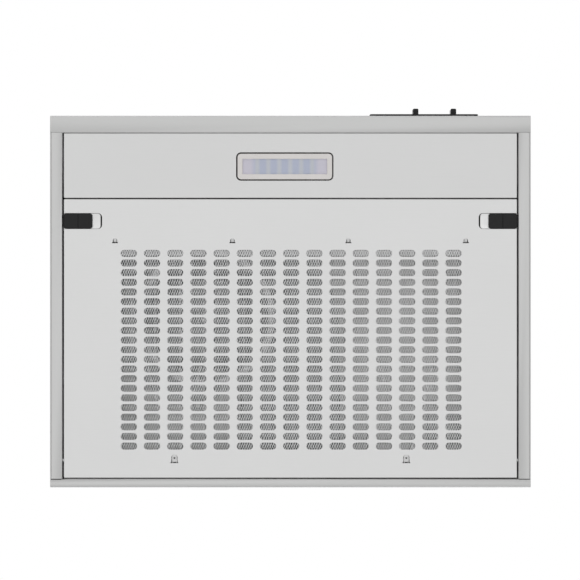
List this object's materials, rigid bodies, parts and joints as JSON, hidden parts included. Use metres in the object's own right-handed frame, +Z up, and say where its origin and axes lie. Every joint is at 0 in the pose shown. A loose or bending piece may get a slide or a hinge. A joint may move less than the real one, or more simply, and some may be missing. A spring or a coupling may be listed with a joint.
{
  "type": "range hood",
  "caption": "Under-cabinet range hood with a slotted hinged filter panel, slide latches, LED lamp, slide controls, blower and damped duct collar.",
  "frame": {"origin": "centre of the four cabinet screw holes, on the top face", "axes": "+Z up, front with the slide controls towards -Y, +X to the right seen from the front"},
  "size_m": [0.6, 0.478, 0.175],
  "materials": {
    "body_steel": "satin silver finish on folded sheet steel",
    "panel_steel": "satin silver finish on folded sheet steel",
    "lamp_frame": "warm white moulded plastic",
    "lamp_window": "frosted diffuser, unlit",
    "circuit_board": "white solder mask with LED chips",
    "white_plastic": "moulded plastic",
    "switch_plastic": "moulded plastic",
    "mesh_aluminium": "expanded aluminium foil mesh",
    "spring_wire": "bright drawn steel wire",
    "galvanised": "galvanised sheet steel",
    "black_plastic": "fine-grained black moulded plastic",
    "screw_steel": "zinc plated steel",
    "motor_paint": "painted motor can",
    "rubber": "soft rubber",
    "collar_plastic": "moulded plastic"
  },
  "bodies": {
    "hood": {"body_wrap": "body_steel", "side_panel_left": "body_steel", "side_panel_right": "body_steel", "light_panel": "panel_steel", "led_frame": "lamp_frame", "led_lens": "lamp_window", "led_board": "circuit_board", "led_driver": "white_plastic", "control_plate": "black_plastic", "fan_switch": "switch_plastic", "light_switch": "switch_plastic", "scroll_housing": "galvanised", "scroll_cover": "galvanised", "cover_screws": "screw_steel", "inlet_guard": "spring_wire", "motor": "motor_paint", "motor_grommets": "rubber", "capacitor": "white_plastic", "duct_collar": "collar_plastic", "damper_pins": "screw_steel", "junction_box": "galvanised", "junction_cover": "galvanised", "terminal_block": "white_plastic", "cable_bush": "rubber"},
    "door": {"filter_panel": "panel_steel", "mesh_lower": "mesh_aluminium", "mesh_upper": "mesh_aluminium", "mesh_retainer_left": "spring_wire", "mesh_retainer_right": "spring_wire", "hinge_pins": "spring_wire", "latch_guide_left": "galvanised", "latch_guide_right": "galvanised", "latch_springs_left": "spring_wire", "latch_springs_right": "spring_wire"},
    "latch_left": {"latch_slider_left": "black_plastic"},
    "latch_right": {"latch_slider_right": "black_plastic"},
    "fan_slider": {"fan_knob": "black_plastic"},
    "light_slider": {"light_knob": "black_plastic"},
    "wheel": {"wheel_back": "galvanised", "wheel_blades": "galvanised", "wheel_ring": "galvanised", "motor_shaft": "screw_steel", "wheel_nut": "screw_steel"},
    "flap_front": {"damper_flap_front": "collar_plastic"},
    "flap_rear": {"damper_flap_rear": "collar_plastic"}
  },
  "joints": [
    {"name": "door_swing", "type": "hinge", "parent": "hood", "child": "door", "pos_m": [0, 0.1983, -0.124], "axis": [1, 0, 0], "range_deg": [0, 90]},
    {"name": "latch_left_slide", "type": "slide", "parent": "door", "child": "latch_left", "axis": [1, 0, 0], "range_m": [0, 0.008], "stiffness_N_per_m": 400, "springref_m": -0.005, "deforming": ["latch_springs_left"]},
    {"name": "latch_right_slide", "type": "slide", "parent": "door", "child": "latch_right", "axis": [-1, 0, 0], "range_m": [0, 0.008], "stiffness_N_per_m": 400, "springref_m": -0.005, "deforming": ["latch_springs_right"]},
    {"name": "fan_speed_slide", "type": "slide", "parent": "hood", "child": "fan_slider", "axis": [-1, 0, 0], "range_m": [0, 0.03]},
    {"name": "light_switch_slide", "type": "slide", "parent": "hood", "child": "light_slider", "axis": [-1, 0, 0], "range_m": [0, 0.012]},
    {"name": "wheel_spin", "type": "hinge", "parent": "hood", "child": "wheel", "pos_m": [-0.108, 0.02, -0.05], "axis": [0, 0, 1], "continuous": true},
    {"name": "flap_front_swing", "type": "hinge", "parent": "hood", "child": "flap_front", "pos_m": [0, 0.1605, 0.006], "axis": [-1, 0, 0], "range_deg": [0, 80]},
    {"name": "flap_rear_swing", "type": "hinge", "parent": "hood", "child": "flap_rear", "pos_m": [0, 0.1655, 0.006], "axis": [1, 0, 0], "range_deg": [0, 80]}
  ]
}
